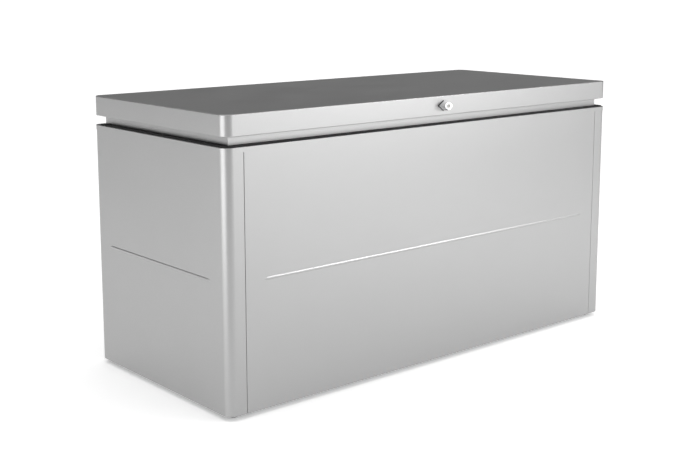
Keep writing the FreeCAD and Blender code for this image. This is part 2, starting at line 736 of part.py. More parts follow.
node(lid_shell(), "lid_shell")
node(lid_tray(), "lid_tray")
node(group([lid_stiffener("%d / 3 * (boxLength / 2 - stiffenerEnd)" % step) for step in (-3, -1, 1, 3)]),
     "lid_stiffeners")
for side, centre in HINGES.items():
    node(body_leaf(centre), "hinge_body_leaf_" + side)
    node(lid_leaf(centre), "hinge_lid_leaf_" + side)
    node(hinge_pin(centre), "hinge_pin_" + side)
node(rivets(BODY_TOP, "frameSheet", "leafThickness"), "hinge_rivets_body")
node(rivets(SKIRT_BOTTOM, "leafThickness", "sheet"), "hinge_rivets_lid")


# Gas springs: a tube that turns on a stud at the end wall, and a rod that slides out of it to the lid.
SPRING_X = "(boxLength / 2 - springInset)"
LOWER_Y = MIDDLE + " + boxDepth / 2 - springLowerBack"
LOWER_Z = BODY_TOP + " - springLowerDrop"
UPPER_Y = MIDDLE + " + boxDepth / 2 - springUpperBack"
UPPER_Z = BAND_BOTTOM + " - springUpperDrop"
SPRING_LEAN = "atan((springUpperBack - springLowerBack) / (%s - (%s)))" % (UPPER_Z, LOWER_Z)
BRACKET_FACE = "(%s + tubeRadius + bracketGap)" % SPRING_X


def lean(piece, y, z):
    """Put a piece made upright about its pivot onto the spring's leaning line."""
    place(piece, "-" + SPRING_X, y, z, Rotation(Vector(1, 0, 0), 30))
    piece.setExpression("Placement.Rotation.Angle", bound(SPRING_LEAN))
    return piece


def spring_tube():
    solid = fuse(rod("0", "0", "tubeStart", "tubeRadius", "tubeLength"),
                 rod("0", "0", "0", "neckRadius", "tubeStart"),
                 rod("-eyeWidth / 2", "0", "0", "eyeRadius", "eyeWidth", ALONG_X))
    pivot_bore = rod("-eyeWidth", "0", "0", "pivotRadius + runningFit", "2 * eyeWidth", ALONG_X)
    chamber = rod("0", "0", "tubeStart + tubeWall", "tubeBore", "tubeLength - 2 * tubeWall")
    rod_bore = rod("0", "0", "tubeStart + tubeLength / 2", "rodRadius + runningFit", "tubeLength")
    return lean(cut(cut(solid, pivot_bore), fuse(chamber, rod_bore)), LOWER_Y, LOWER_Z)


def spring_rod():
    solid = fuse(rod("0", "0", "-rodEnd - rodLength", "rodRadius", "rodLength"),
                 rod("0", "0", "-rodEnd - rodLength", "tubeBore - runningFit", "pistonLength"),
                 rod("0", "0", "-rodEnd", "neckRadius", "rodEnd"),
                 rod("-eyeWidth / 2", "0", "0", "eyeRadius", "eyeWidth", ALONG_X))
    pivot_bore = rod("-eyeWidth", "0", "0", "pivotRadius + runningFit", "2 * eyeWidth", ALONG_X)
    return lean(cut(solid, pivot_bore), UPPER_Y, UPPER_Z)


def spring_wall_bracket():
    """A hat-shaped bracket on the end wall with a headed stud for the tube's eye."""
    wall = "-" + WALL_X + " + sheet"
    reach = "(%s - sheet - %s)" % (WALL_X, BRACKET_FACE)
    flange = block(wall, LOWER_Y + " - bracketSize / 2", LOWER_Z + " - bracketSize / 2 - bracketFlange",
                   "plateThickness", "bracketSize", "bracketSize + 2 * bracketFlange")
    hat = block(wall, LOWER_Y + " - bracketSize / 2", LOWER_Z + " - bracketSize / 2",
                reach, "bracketSize", "bracketSize")
    inside = block(wall + " - sheet", LOWER_Y + " - bracketSize",
                   LOWER_Z + " - bracketSize / 2 + plateThickness", reach + " + sheet - plateThickness",
                   "2 * bracketSize", "bracketSize - 2 * plateThickness")
    collar = "(bracketGap + tubeRadius - eyeWidth / 2 - collarGap)"
    stud = fuse(rod("-" + BRACKET_FACE, LOWER_Y, LOWER_Z, "pivotRadius",
                    collar + " + eyeWidth + 2 * collarGap", ALONG_X),
                rod("-" + BRACKET_FACE, LOWER_Y, LOWER_Z, "collarRadius", collar, ALONG_X),
                rod("-" + SPRING_X + " + eyeWidth / 2 + collarGap", LOWER_Y, LOWER_Z,
                    "collarRadius", "collarLength", ALONG_X))
    return fuse(cut(fuse(flange, hat), inside), stud)


def spring_lid_bracket():
    """An angle under the lid with a short stud that stops just beside the rod's eye."""
    foot_plate = block("-" + BRACKET_FACE + " - plateThickness", UPPER_Y + " - lidBracketWidth / 2",
                       BAND_BOTTOM + " - plateThickness",
                       "lidBracketFoot", "lidBracketWidth", "plateThickness")
    web = block("-" + BRACKET_FACE + " - plateThickness", UPPER_Y + " - lidBracketWidth / 2",
                UPPER_Z + " - eyeRadius - bracketGap", "plateThickness", "lidBracketWidth",
                "springUpperDrop + eyeRadius + bracketGap")
    stud = rod("-" + BRACKET_FACE, UPPER_Y, UPPER_Z, "pivotRadius",
               "bracketGap + tubeRadius - eyeWidth / 2 - openPivotGap", ALONG_X)
    return fuse(foot_plate, web, stud)


mirrored_pair(spring_tube(), "gas_tube_left", "gas_tube_right")
mirrored_pair(spring_rod(), "gas_rod_left", "gas_rod_right")
mirrored_pair(spring_wall_bracket(), "spring_wall_bracket_left", "spring_wall_bracket_right")
mirrored_pair(spring_lid_bracket(), "spring_lid_bracket_left", "spring_lid_bracket_right")


# Lock: a knob on the lid's front turns a spindle, whose hooked cam swings down round a pin on the frame.
KNOB_BACK = LID_FRONT + " - padThickness - knobGap"
KNOB_FRONT = LID_FRONT + " - knobReach"
LEG_FACE = MIDDLE + " - boxDepth / 2 + frameWidth"
STRIKE_Z = LOCK_Z + " - strikeReach"


def diamond_sketch(body, y, wide, tall, corner):
    """A rounded diamond round the lock's axis, facing the front."""
    sketch = sketch_in(body, "XZ_Plane", "0", LOCK_Z, "-(" + y + ")")
    draw_rounded_diamond(sketch, wide, tall, corner)
    return sketch


def lock_pad():
    body = new_body("LockPad")
    feature = body.newObject("PartDesign::Pad", "Pad")
    feature.Profile = diamond_sketch(body, LID_FRONT, "padWide", "padTall", "padCorner")
    bind(feature, Length="padThickness")
    return cut(body, rod("0", LID_FRONT + " - 2 * padThickness", LOCK_Z, "housingRadius + boltPlay",
                         "3 * padThickness", ALONG_Y))


def lock_knob():
    body = new_body("Knob")
    base_sketch = diamond_sketch(body, KNOB_BACK, "knobWide", "knobTall", "knobCorner")
    face_sketch = diamond_sketch(body, KNOB_FRONT, "faceWide", "faceTall", "faceCorner")
    loft = body.newObject("PartDesign::AdditiveLoft", "Grip")
    loft.Profile = base_sketch
    loft.Sections = [face_sketch]
    return cut(body, rod("0", KNOB_FRONT + " - sheet", LOCK_Z, "plugRadius + runningFit",
                         "plugLength + sheet", ALONG_Y))


def key_plug():
    plug = rod("0", KNOB_FRONT, LOCK_Z, "plugRadius", "plugLength - runningFit", ALONG_Y)
    keyway = block("-keywayLength / 2", KNOB_FRONT + " - sheet", LOCK_Z + " - keywayWidth / 2",
                   "keywayLength", "keywayDepth + sheet", "keywayWidth")
    return cut(plug, keyway)


def lock_housing():
    barrel = rod("0", LID_FRONT + " - padThickness", LOCK_Z, "housingRadius", "housingLength", ALONG_Y)
    return cut(barrel, rod("0", KNOB_FRONT, LOCK_Z, "spindleRadius + runningFit",
                           "2 * housingLength + knobReach", ALONG_Y))


def lock_nut():
    nut = hexagon("0", LID_FRONT + " + sheet", LOCK_Z, "lockNutWidth", "lockNutHeight", ALONG_Y)
    return cut(nut, rod("0", LID_FRONT, LOCK_Z, "housingRadius + runningFit", "2 * lockNutHeight", ALONG_Y))


def lock_cam():
    """A flat tongue along +X with an arc-shaped hook slot that opens at its lower edge."""
    plate = fuse(rod("0", CAM_FRONT, LOCK_Z, "camHalf", "camThickness", ALONG_Y),
                 block("0", CAM_FRONT, LOCK_Z + " - camHalf", "camReach", "camThickness", "2 * camHalf"))
    slot_half = "(strikeRadius + strikePlay)"
    start = CAM_FRONT + " - sheet"
    through = "camThickness + 2 * sheet"
    outer = rod("0", start, LOCK_Z, "strikeReach + " + slot_half, through, ALONG_Y)
    inner = rod("0", start, LOCK_Z, "strikeReach - " + slot_half, through, ALONG_Y)
    for sector in (outer, inner):
        bind(sector, Angle="2 * asin(camHalf / strikeReach)")
    slot_end = rod("strikeReach", start, LOCK_Z, slot_half, through, ALONG_Y)
    spindle_hole = rod("0", start, LOCK_Z, "spindleRadius + runningFit", through, ALONG_Y)
    return cut(plate, cut(outer, inner), slot_end, spindle_hole)


def strike():
    start = LEG_FACE + " - frameSheet - leafThickness"
    clear = "(camSetback + camThickness + strikeEndPlay - (frameWidth - frameSheet - frameFit))"
    back_plate = block("-strikePlate / 2", start, BODY_TOP + " - rimHeight",
                       "strikePlate", "leafThickness", "rimHeight - frameSheet")
    pin = rod("0", start, STRIKE_Z, "strikeRadius", clear + " + frameSheet + leafThickness", ALONG_Y)
    head = rod("0", LEG_FACE + " + " + clear, STRIKE_Z, "strikeHead", "leafThickness", ALONG_Y)
    return fuse(back_plate, pin, head)


node(lock_pad(), "lock_pad")
node(lock_housing(), "lock_housing")
node(lock_nut(), "lock_nut")
node(lock_knob(), "lock_knob")
node(key_plug(), "key_plug")
spindle_end = "(padThickness + knobGap + camSetback + camThickness)"
node(rod("0", KNOB_BACK, LOCK_Z, "spindleRadius", spindle_end, ALONG_Y), "lock_spindle")
node(lock_cam(), "lock_cam")
node(hexagon("0", CAM_FRONT + " + camThickness", LOCK_Z, "camNut", "boltNutHeight", ALONG_Y), "cam_nut")
node(strike(), "strike_pin")
strike_hole = rod("0", LEG_FACE + " - 3 * frameSheet", STRIKE_Z, "strikeRadius + runningFit",
                  "6 * frameSheet", ALONG_Y)
frame_ring = cut(top_frame(), strike_hole, *rivet_holes(BODY_TOP))
frame_start = MIDDLE + " - boxDepth / 2"
frame_level = BODY_TOP + " - rimHeight - sheet"


def frame_length(x, y, length, width):
    """One length of the capping frame, which meets its neighbours at the welded corners."""
    return common(frame_ring, block(x, y, frame_level, length, width, "rimHeight + 2 * sheet"))


# the front and back lengths hold the corners, and the end lengths run between them
node(frame_length("-boxLength / 2", frame_start, "boxLength", "frameWidth"), "top_frame_front")
node(frame_length("-boxLength / 2", frame_start + " + boxDepth - frameWidth", "boxLength", "frameWidth"),
     "top_frame_back")
mirrored_pair(frame_length("-boxLength / 2", frame_start + " + frameWidth", "frameWidth",
                           "boxDepth - 2 * frameWidth"),
              "top_frame_left", "top_frame_right")


# Seam fasteners: bolts through both flanges of each seam, with nuts inside the long panels.
def seam_bolts():
    face = "-(%s + seamGap / 2 + sheet)" % SEAM_X
    return group([fuse(rod(face + " - boltHeadHeight", y, z, "boltHead", "boltHeadHeight", ALONG_X),
                       rod(face, y, z, "boltRadius", "3 * sheet + seamGap + boltNutHeight", ALONG_X))
                  for y, z in SEAM_ROWS])


def seam_nuts():
    face = "-(%s - seamGap / 2 - sheet)" % SEAM_X
    return group([cut(hexagon(face, y, z, "boltNut", "boltNutHeight", ALONG_X),
                      rod(face + " - sheet", y, z, "boltRadius + runningFit", "boltNutHeight + 2 * sheet",
                          ALONG_X))
                  for y, z in SEAM_ROWS])


mirrored_pair(seam_bolts(), "seam_bolts_left", "seam_bolts_right")
mirrored_pair(seam_nuts(), "seam_nuts_left", "seam_nuts_right")

doc.recompute()
failed = [item.Label for item in doc.Objects if "Invalid" in item.State or "Error" in item.State]
if failed:
    raise RuntimeError("These objects failed: " + ", ".join(failed))
for piece in nodes:
    if piece.Shape.isNull() or not piece.Shape.isValid():
        raise RuntimeError("No valid shape: " + piece.Label)

os.makedirs("parts", exist_ok=True)
for piece in nodes:
    piece.Shape.exportStep("parts/" + piece.Label + ".step")
    box = piece.Shape.BoundBox
    print("%-28s solids %2d  x %8.2f %8.2f  y %8.2f %8.2f  z %7.2f %7.2f" % (
        piece.Label, len(piece.Shape.Solids), box.XMin, box.XMax, box.YMin, box.YMax, box.ZMin, box.ZMax))
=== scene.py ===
import bpy
import bmesh
import json
import math
from mathutils import Matrix, Vector


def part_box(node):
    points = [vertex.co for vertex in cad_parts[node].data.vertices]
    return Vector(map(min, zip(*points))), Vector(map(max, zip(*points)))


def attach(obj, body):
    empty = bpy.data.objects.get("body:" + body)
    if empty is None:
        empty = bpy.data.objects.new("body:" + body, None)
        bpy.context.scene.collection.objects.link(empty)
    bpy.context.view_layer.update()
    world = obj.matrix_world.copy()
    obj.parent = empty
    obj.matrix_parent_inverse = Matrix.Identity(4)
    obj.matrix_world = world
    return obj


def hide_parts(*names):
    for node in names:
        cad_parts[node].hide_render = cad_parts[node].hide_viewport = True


# Garden cushion box: folded and stove-enamelled steel sheet, with a gas-sprung lid and a knob lock.

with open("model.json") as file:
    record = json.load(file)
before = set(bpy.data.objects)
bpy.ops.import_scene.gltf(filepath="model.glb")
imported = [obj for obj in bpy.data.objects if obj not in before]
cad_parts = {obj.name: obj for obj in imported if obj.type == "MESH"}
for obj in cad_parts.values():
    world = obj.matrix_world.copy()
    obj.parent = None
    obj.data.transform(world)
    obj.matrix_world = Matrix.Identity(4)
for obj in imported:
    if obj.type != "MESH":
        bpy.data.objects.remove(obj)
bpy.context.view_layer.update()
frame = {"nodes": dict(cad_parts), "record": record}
nodes = frame["nodes"]
print("frame loaded:", len(nodes), "parts")


camera = {
    "place": (-2.5047, -2.8132, 1.1784),
    "turn": 40.74,       # degrees clockwise from the back, seen from above
    "tilt": 9.234,       # degrees down
    "lens": 60.0,        # mm on a 36 mm wide sensor
    "shift": -0.08,      # keeps the uprights near parallel, as the photograph has them
}


def addCamera():
    data = bpy.data.cameras.new("camera")
    data.sensor_fit = "HORIZONTAL"
    data.sensor_width = 36
    data.lens = camera["lens"]
    data.shift_y = camera["shift"]
    data.clip_end = 500
    eye = bpy.data.objects.new("camera", data)
    eye.location = camera["place"]
    eye.rotation_euler = (math.radians(90 - camera["tilt"]), 0, -math.radians(camera["turn"]))
    bpy.context.scene.collection.objects.link(eye)
    bpy.context.scene.camera = eye


addCamera()
print("camera placed")


def linear(hexCode):
    channels = [int(hexCode[i:i + 2], 16) / 255 for i in (1, 3, 5)]
    return tuple(c / 12.92 if c <= 0.04045 else ((c + 0.055) / 1.055) ** 2.4 for c in channels) + (1,)


def addNode(tree, kind, settings=None, links=None, **values):
    # settings are the node's own options, values its inputs by name with _ for a space,
    # and links its inputs by name or number
    node = tree.nodes.new(kind)
    for name, value in (settings or {}).items():
        setattr(node, name, value)
    for name, value in values.items():
        node.inputs[name.replace("_", " ")].default_value = value
    for name, source in (links or {}).items():
        tree.links.new(source, node.inputs[name])
    return node


def newMaterial(name):
    material = bpy.data.materials.new(name)
    material.use_nodes = True
    tree = material.node_tree
    tree.nodes.clear()
    shader = addNode(tree, "ShaderNodeBsdfPrincipled")
    addNode(tree, "ShaderNodeOutputMaterial", links={"Surface": shader.outputs[0]})
    place = addNode(tree, "ShaderNodeTexCoord").outputs["Object"]
    return material, tree, shader, place


def steps(ramp, stops):
    # stops are (position, grey or colour)
    elements = ramp.color_ramp.elements
    for index, (position, colour) in enumerate(stops):
        element = elements[index] if index < 2 else elements.new(position)
        element.position = position
        element.color = colour if isinstance(colour, tuple) else (colour, colour, colour, 1)


enamelLook = {
    "colour": "#a9a9a9",
    "paler": "#adadad",
    "roughness": (0.36, 0.42),
    "flake": 0.0016,              # m, clusters of aluminium flakes: single ones are too fine to show
    "cloud": 1 / 6,               # m, how far apart the coat turns a little duller or brighter
    "peel": 0.003,                # m, the coat's orange peel
    "relief": (0.05, 0.0002),     # the peel's strength, and its height in m
}


def stoveEnamel():
    # silver metallic stove enamel: aluminium flakes in a thin baked coat, so it darkens where it turns away,
    # as metal does, and shows only soft, wide reflections
    material, tree, shader, place = newMaterial("stoveEnamelSilver")
    look = enamelLook
    flake = addNode(tree, "ShaderNodeTexNoise", links={"Vector": place}, Scale=1 / look["flake"], Detail=2)
    cloud = addNode(tree, "ShaderNodeTexNoise", links={"Vector": place}, Scale=1 / look["cloud"], Detail=3)
    tint = addNode(tree, "ShaderNodeValToRGB", links={"Fac": flake.outputs["Fac"]})
    steps(tint, [(0.35, linear(look["colour"])), (0.65, linear(look["paler"]))])
    shine = addNode(tree, "ShaderNodeMapRange", links={"Value": cloud.outputs["Fac"]},
                    To_Min=look["roughness"][0], To_Max=look["roughness"][1])
    peel = addNode(tree, "ShaderNodeTexNoise", links={"Vector": place}, Scale=1 / look["peel"], Detail=1)
    bump = addNode(tree, "ShaderNodeBump", links={"Height": peel.outputs["Fac"]},
                   Strength=look["relief"][0], Distance=look["relief"][1])
    tree.links.new(tint.outputs["Color"], shader.inputs["Base Color"])
    tree.links.new(shine.outputs["Result"], shader.inputs["Roughness"])
    tree.links.new(bump.outputs["Normal"], shader.inputs["Normal"])
    shader.inputs["Metallic"].default_value = 1.0
    return material


zincLook = {
    "colour": "#b4b8ba", "darker": "#a3a8ab", "roughness": (0.34, 0.5),
    "spangle": 0.012,             # m, a crystal's width
}


def galvanisedSheet():
    # hot-dip galvanised sheet: zinc crystals about 12 mm wide, each with its own sheen
    material, tree, shader, place = newMaterial("galvanisedSheet")
    look = zincLook
    crystal = addNode(tree, "ShaderNodeTexVoronoi", links={"Vector": place}, Scale=1 / look["spangle"])
    grain = addNode(tree, "ShaderNodeSeparateColor", links={"Color": crystal.outputs["Color"]})
    tint = addNode(tree, "ShaderNodeValToRGB", links={"Fac": grain.outputs[0]})
    steps(tint, [(0.0, linear(look["darker"])), (1.0, linear(look["colour"]))])
    shine = addNode(tree, "ShaderNodeMapRange", links={"Value": grain.outputs[1]},
                    To_Min=look["roughness"][0], To_Max=look["roughness"][1])
    tree.links.new(tint.outputs["Color"], shader.inputs["Base Color"])
    tree.links.new(shine.outputs["Result"], shader.inputs["Roughness"])
    shader.inputs["Metallic"].default_value = 1.0
    return material


platedLook = {
    "colour": "#c3c8cc", "darker": "#aab0b5", "roughness": (0.22, 0.34),
    "mottle": 0.006,              # m between its patches
}


def zincPlatedSteel():
    # zinc-plated, clear-passivated steel: bright and slightly blue, its faint mottle duller where darker
    material, tree, shader, place = newMaterial("zincPlatedSteel")
    look = platedLook
    mottle = addNode(tree, "ShaderNodeTexNoise", links={"Vector": place}, Scale=1 / look["mottle"], Detail=3)
    tint = addNode(tree, "ShaderNodeValToRGB", links={"Fac": mottle.outputs["Fac"]})
    steps(tint, [(0.3, linear(look["darker"])), (0.7, linear(look["colour"]))])
    shine = addNode(tree, "ShaderNodeMapRange", links={"Value": mottle.outputs["Fac"]},
                    To_Min=look["roughness"][1], To_Max=look["roughness"][0])
    tree.links.new(tint.outputs["Color"], shader.inputs["Base Color"])
    tree.links.new(shine.outputs["Result"], shader.inputs["Roughness"])
    shader.inputs["Metallic"].default_value = 1.0
    return material


rubberLook = {
    "colour": "#1c1c1d", "paler": "#282829", "roughness": 0.72,
    "grain": 0.0008,              # m, drawn coarse: the real one is too fine to show
    "relief": (0.3, 0.0002),
}


def rubber():
    # black EPDM rubber: matt, with the fine grain of an extruded strip
    material, tree, shader, place = newMaterial("epdmRubber")
    look = rubberLook
    grain = addNode(tree, "ShaderNodeTexNoise", links={"Vector": place}, Scale=1 / look["grain"], Detail=2)
    tint = addNode(tree, "ShaderNodeValToRGB", links={"Fac": grain.outputs["Fac"]})
    steps(tint, [(0.3, linear(look["colour"])), (0.8, linear(look["paler"]))])
    bump = addNode(tree, "ShaderNodeBump", links={"Height": grain.outputs["Fac"]},
                   Strength=look["relief"][0], Distance=look["relief"][1])
    tree.links.new(tint.outputs["Color"], shader.inputs["Base Color"])
    tree.links.new(bump.outputs["Normal"], shader.inputs["Normal"])
    shader.inputs["Roughness"].default_value = look["roughness"]
    return material


nylonLook = {
    "colour": "#141415", "paler": "#1c1c1d", "roughness": 0.7,
    "gloss": 0.25,                # half the usual, as the grain breaks the shine up
    "grain": 0.0006,              # m, drawn coarse: the mould's is too fine to show
    "relief": (0.4, 0.0002),
}


def nylon():
    # black moulded polyamide: the mould's spark-eroded grain leaves it matt
    material, tree, shader, place = newMaterial("polyamideMoulded")
    look = nylonLook
    grain = addNode(tree, "ShaderNodeTexNoise", links={"Vector": place}, Scale=1 / look["grain"], Detail=3)
    tint = addNode(tree, "ShaderNodeValToRGB", links={"Fac": grain.outputs["Fac"]})
    steps(tint, [(0.3, linear(look["colour"])), (0.8, linear(look["paler"]))])
    bump = addNode(tree, "ShaderNodeBump", links={"Height": grain.outputs["Fac"]},
                   Strength=look["relief"][0], Distance=look["relief"][1])
    tree.links.new(tint.outputs["Color"], shader.inputs["Base Color"])
    tree.links.new(bump.outputs["Normal"], shader.inputs["Normal"])
    shader.inputs["Roughness"].default_value = look["roughness"]
    shader.inputs["Specular IOR Level"].default_value = look["gloss"]
    return material


chromeLook = {
    "colour": "#e8e8e8", "roughness": (0.26, 0.34),
    "cloud": 0.01,                # m between duller and brighter places
}


def chrome():
    # satin chrome on die-cast zinc: the brightest metal here, with soft highlights that vary a little
    material, tree, shader, place = newMaterial("chromedDieCast")
    look = chromeLook
    cloud = addNode(tree, "ShaderNodeTexNoise", links={"Vector": place}, Scale=1 / look["cloud"], Detail=2)
    shine = addNode(tree, "ShaderNodeMapRange", links={"Value": cloud.outputs["Fac"]},
                    To_Min=look["roughness"][0], To_Max=look["roughness"][1])
    tree.links.new(shine.outputs["Result"], shader.inputs["Roughness"])
    shader.inputs["Base Color"].default_value = linear(look["colour"])
    shader.inputs["Metallic"].default_value = 1.0
    return material


nickelLook = {
    "colour": "#bdbcb9", "roughness": 0.28,
    "cut": 0.0004,                # m between the lathe's rings, drawn coarse: real ones are too fine to show
    "relief": (0.15, 0.00002),
}
lockPlace = [sum(corner[axis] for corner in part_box("key_plug")) / 2 for axis in (0, 2)]      # its X and Z


def nickel():
    # nickel-plated brass, faced on a lathe: fine rings round the lock's axis draw its highlight out
    material, tree, shader, place = newMaterial("nickelPlatedBrass")
    centred = addNode(tree, "ShaderNodeMapping", links={"Vector": place},
                      Location=(-lockPlace[0], 0, -lockPlace[1]))
    # at scale 1 this texture's rings stand pi / 10 apart
    rings = addNode(tree, "ShaderNodeTexWave", {"wave_type": "RINGS", "rings_direction": "Y"},
                    {"Vector": centred.outputs[0]}, Scale=math.pi / 10 / nickelLook["cut"])
    bump = addNode(tree, "ShaderNodeBump", links={"Height": rings.outputs["Fac"]},
                   Strength=nickelLook["relief"][0], Distance=nickelLook["relief"][1])
    tree.links.new(bump.outputs["Normal"], shader.inputs["Normal"])
    shader.inputs["Base Color"].default_value = linear(nickelLook["colour"])
    shader.inputs["Roughness"].default_value = nickelLook["roughness"]
    shader.inputs["Metallic"].default_value = 1.0
    return material


tubeLook = {
    "colour": "#1b1c1e", "roughness": 0.38,
    "peel": 0.0015,               # m between the coat's ripples
    "relief": (0.25, 0.0002),
}


def tubePaint():
    # semi-gloss black powder coat, whose fine orange peel ripples the highlights
    material, tree, shader, place = newMaterial("powderCoatBlack")
    peel = addNode(tree, "ShaderNodeTexNoise", links={"Vector": place}, Scale=1 / tubeLook["peel"], Detail=1)
    bump = addNode(tree, "ShaderNodeBump", links={"Height": peel.outputs["Fac"]},
                   Strength=tubeLook["relief"][0], Distance=tubeLook["relief"][1])
    tree.links.new(bump.outputs["Normal"], shader.inputs["Normal"])
    shader.inputs["Base Color"].default_value = linear(tubeLook["colour"])
    shader.inputs["Roughness"].default_value = tubeLook["roughness"]
    return material


rodLook = {
    "colour": "#c9cbcd", "roughness": (0.08, 0.2),
    "grind": 0.0012,              # m between the wheel's bands, drawn coarse: real ones are too fine to show
}


def groundSteel():
    # ground and polished piston rod: near mirror, with the faint bands that the wheel leaves round it
    material, tree, shader, place = newMaterial("groundSteelRod")
    band = addNode(tree, "ShaderNodeMapping", links={"Vector": place}, Scale=(0.05, 0.05, 1))
    marks = addNode(tree, "ShaderNodeTexNoise", links={"Vector": band.outputs[0]},
                    Scale=1 / rodLook["grind"], Detail=3)
    shine = addNode(tree, "ShaderNodeMapRange", links={"Value": marks.outputs["Fac"]},
                    To_Min=rodLook["roughness"][0], To_Max=rodLook["roughness"][1])
    tree.links.new(shine.outputs["Result"], shader.inputs["Roughness"])
    shader.inputs["Base Color"].default_value = linear(rodLook["colour"])
    shader.inputs["Metallic"].default_value = 1.0
    return material


finishes = {
    "silver_coating": stoveEnamel(),
    "galvanised_sheet": galvanisedSheet(),
    "zinc_plated_steel": zincPlatedSteel(),
    "black_rubber": rubber(),
    "black_plastic": nylon(),
    "bright_chrome": chrome(),
    "nickel_plate": nickel(),
    "black_tube_paint": tubePaint(),
    "ground_steel": groundSteel(),
}
slotOf = {part["node"]: part["material_slot"] for part in frame["record"]["subparts"]}
for name, part in nodes.items():
    part.data.materials.clear()
    part.data.materials.append(finishes[slotOf[name]])
print("finishes made:", len(finishes))


def addPiece(name, mesh, body, slot, *replaced):
    # a finished mesh that rides on a body and stands for the nodes that it replaces
    mesh.materials.clear()
    mesh.materials.append(finishes[slot])
    piece = bpy.data.objects.new(name, mesh)
    bpy.context.scene.collection.objects.link(piece)
    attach(piece, body)
    if replaced:
        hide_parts(*replaced)
    return piece


turnOf = {"flat": 1, "sharp": 32, "broken": 40}      # degrees between faces: joined up, left sharp, bevelled


def newPiece(name, bm, body, slot, *replaced):
    bmesh.ops.recalc_face_normals(bm, faces=bm.faces)
    mesh = bpy.data.meshes.new(name)
    bm.to_mesh(mesh)
    bm.free()
    mesh.shade_smooth()
    mesh.set_sharp_from_angle(angle=math.radians(turnOf["sharp"]))
    return addPiece(name, mesh, body, slot, *replaced)


def pieceName(node):
    # lock_nut becomes lockNut
    words = node.split("_")
    return words[0] + "".join(word.capitalize() for word in words[1:])


def nodeShape(node):
    # a node's mesh, with the triangles of each flat face joined again
    bm = bmesh.new()
    bm.from_mesh(nodes[node].data)
    bmesh.ops.remove_doubles(bm, verts=bm.verts, dist=1e-6)
    bmesh.ops.dissolve_limit(bm, angle_limit=math.radians(turnOf["flat"]), verts=bm.verts, edges=bm.edges)
    return bm


def skin(bm, rings, loop=False):
    # joins each ring of points to the next, then caps the ends or closes them on each other
    rows = [[bm.verts.new(point) for point in ring] for ring in rings]
    around = len(rows[0])
    for near, far in zip(rows, rows[1:] + rows[:1] if loop else rows[1:]):
        for i in range(around):
            j = (i + 1) % around
            bm.faces.new((near[i], near[j], far[j], far[i]))
    if not loop:
        bm.faces.new(rows[0][::-1])
        bm.faces.new(rows[-1])


def turned(bm, profile, place, sides=48, loop=False):
    # a lathe profile of (height, radius) pairs, spun about the place's own Z axis
    turns = [2 * math.pi * i / sides for i in range(sides)]
    rings = [[place @ Vector((radius * math.cos(a), radius * math.sin(a), height)) for a in turns]
             for height, radius in profile]
    skin(bm, rings, loop)


def arc(centreHeight, centreRadius, size, first, last, count=6):
    # part of a lathe profile: a round edge, from one angle to another in degrees, 0 outwards and 90 up
    angles = [math.radians(first + (last - first) * i / (count - 1)) for i in range(count)]
    return [(centreHeight + size * math.sin(a), centreRadius + size * math.cos(a)) for a in angles]


def softened(node, body, width, segments=2, bm=None):
    # a copy of a node with its edges broken, as a deburred or cast edge is
    piece = newPiece(pieceName(node), bm or nodeShape(node), body, slotOf[node], node)
    bevel = piece.modifiers.new("brokenEdge", "BEVEL")
    bevel.width = width
    bevel.segments = segments
    bevel.limit_method = "ANGLE"
    bevel.angle_limit = math.radians(turnOf["broken"])
    bevel.harden_normals = True
    return piece


sheet = {
    "bend": 0.0012,              # outer radius of the bends at a seam
    "seam": 0.0004,              # how far each sheet stands back from the middle of its seam
    "hem": (0.002, 0.026),       # the skirt's lower bend, and the radius of its upright corners
    "rim": (0.0009, 0.027),      # the same for the frame's upper edge
    "near": 0.001,               # how far off the outline a face may be and still belong to it
}


def openSeam(node, inwards):
    # the sheet's bends at its seams, moved back so that the joint shows as the fine dark line that it is
    mesh = nodes[node].data.copy()
    ends = [abs(corner[0]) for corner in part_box(node)]
    edge = max(ends) if inwards else min(ends)
    for vertex in mesh.vertices:
        if abs(abs(vertex.co.x) - edge) < sheet["bend"] + 0.0001:
            vertex.co.x += math.copysign(sheet["seam"], -vertex.co.x if inwards else vertex.co.x)
    addPiece(pieceName(node), mesh, "base", slotOf[node], node)


def bent(node, body, bend, upwards, outline):
    # a copy of a sheet with the round bend along its outer edge, above or below
    radius, corner = bend
    side = 1 if upwards else -1
    low, high = outline
    half = [(high[axis] - low[axis]) / 2 for axis in (0, 1)]
    middle = [(high[axis] + low[axis]) / 2 for axis in (0, 1)]

    def outer(face):
        n, at = face.normal, face.calc_center_median()
        reach = abs(n.x) * (half[0] - corner) + abs(n.y) * (half[1] - corner) + corner
        stands = n.x * (at.x - middle[0]) + n.y * (at.y - middle[1])
        return abs(n.z) < 0.1 and abs(stands - reach) < sheet["near"]

    bm = nodeShape(node)
    bm.normal_update()
    edges = [edge for edge in bm.edges if any(outer(face) for face in edge.link_faces)
             and any(face.normal.z * side > 0.9 for face in edge.link_faces)]
    bmesh.ops.bevel(bm, geom=edges, offset=radius, segments=4, profile=0.5, affect="EDGES",
                    clamp_overlap=False)
    piece = newPiece(pieceName(node), bm, body, slotOf[node], node)
    piece.modifiers.new("evenShading", "WEIGHTED_NORMAL").keep_sharp = True
    print(node, "bent along", len(edges), "edges")


openSeam("front_panel", True)
openSeam("back_panel", True)
openSeam("left_side_panel", False)
openSeam("right_side_panel", False)
bent("lid_shell", "lid", sheet["hem"], False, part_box("lid_shell"))
frameBoxes = [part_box(node) for node in nodes if node.startswith("top_frame")]
frameOutline = [[min(box[0][axis] for box in frameBoxes) for axis in (0, 1)],
                [max(box[1][axis] for box in frameBoxes) for axis in (0, 1)]]
for part in ("front", "back", "left", "right"):
    bent("top_frame_" + part, "base", sheet["rim"], True, frameOutline)
print("sheets modelled")


